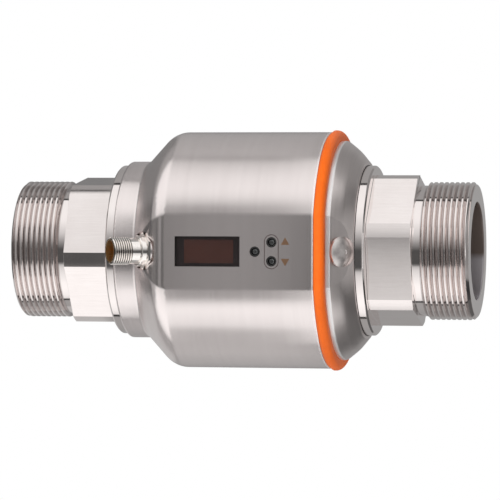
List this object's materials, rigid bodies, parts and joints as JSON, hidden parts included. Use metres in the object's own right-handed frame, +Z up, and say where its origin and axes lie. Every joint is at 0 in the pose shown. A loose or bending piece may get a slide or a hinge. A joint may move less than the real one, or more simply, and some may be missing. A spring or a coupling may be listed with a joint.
{
  "type": "electromagnetic flow meter",
  "caption": "In-line magnetic-inductive flow meter: threaded pipe ends with hexagons, round brushed-steel housing with a flat display panel, push buttons, orange cover seal and M12 plug.",
  "frame": {"origin": "on the pipe axis, halfway along the meter", "axes": "+X along the pipe from inlet to outlet, -Y out of the display panel, +Z up"},
  "size_m": [0.2, 0.1081, 0.1042],
  "materials": {
    "turned_steel": "bright turned stainless steel",
    "brushed_steel": "fine brushed stainless steel",
    "orange_rubber": "smooth orange moulded seal",
    "black_rubber": "matt black elastomer",
    "liner_plastic": "natural PEEK",
    "soft_iron": "plain soft iron",
    "copper_winding": "enamelled copper wire",
    "black_plastic": "moulded black plastic",
    "board": "green circuit board",
    "window_glass": "dark tinted pane",
    "display_face": "dark red display",
    "key_metal": "grey key pins",
    "connector_metal": "nickel-plated brass",
    "gold": "gold-plated contacts",
    "insert_plastic": "brown contact insert",
    "flat_lead": "amber flat lead"
  },
  "bodies": {
    "meter": {"inlet_adapter": "turned_steel", "outlet_adapter": "turned_steel", "cover_plug": "turned_steel", "inlet_clamp_ring": "turned_steel", "outlet_clamp_ring": "turned_steel", "tie_rods": "turned_steel", "front_electrode": "turned_steel", "rear_electrode": "turned_steel", "electrode_nuts": "turned_steel", "carrier_screws": "turned_steel", "board_screws": "turned_steel", "housing": "brushed_steel", "end_cover": "brushed_steel", "cover_seal": "orange_rubber", "inlet_flange_seal": "black_rubber", "outlet_flange_seal": "black_rubber", "plug_seal": "black_rubber", "inlet_tube_seal": "black_rubber", "outlet_tube_seal": "black_rubber", "electrode_seals": "black_rubber", "window_gasket": "black_rubber", "button_seals": "black_rubber", "connector_seal": "black_rubber", "measuring_tube": "liner_plastic", "upper_pole_shoe": "soft_iron", "lower_pole_shoe": "soft_iron", "upper_core": "soft_iron", "lower_core": "soft_iron", "yoke": "soft_iron", "upper_coil": "copper_winding", "lower_coil": "copper_winding", "upper_bobbin": "black_plastic", "lower_bobbin": "black_plastic", "electronics_carrier": "black_plastic", "board_spacers": "black_plastic", "board_connector": "black_plastic", "board_chips": "black_plastic", "button_switches": "black_plastic", "main_board": "board", "display_board": "board", "display_window": "window_glass", "display_module": "display_face", "connector_shell": "connector_metal", "connector_pins": "gold", "connector_insert": "insert_plastic", "connector_lead": "flat_lead"},
    "set_button_body": {"set_button": "key_metal"},
    "up_button_body": {"up_button": "key_metal"},
    "down_button_body": {"down_button": "key_metal"}
  },
  "joints": [
    {"name": "set_button_press", "type": "slide", "parent": "meter", "child": "set_button_body", "axis": [0, 1, 0], "range_m": [0, 0.0006], "stiffness_N_per_m": 800},
    {"name": "up_button_press", "type": "slide", "parent": "meter", "child": "up_button_body", "axis": [0, 1, 0], "range_m": [0, 0.0006], "stiffness_N_per_m": 800},
    {"name": "down_button_press", "type": "slide", "parent": "meter", "child": "down_button_body", "axis": [0, 1, 0], "range_m": [0, 0.0006], "stiffness_N_per_m": 800}
  ]
}
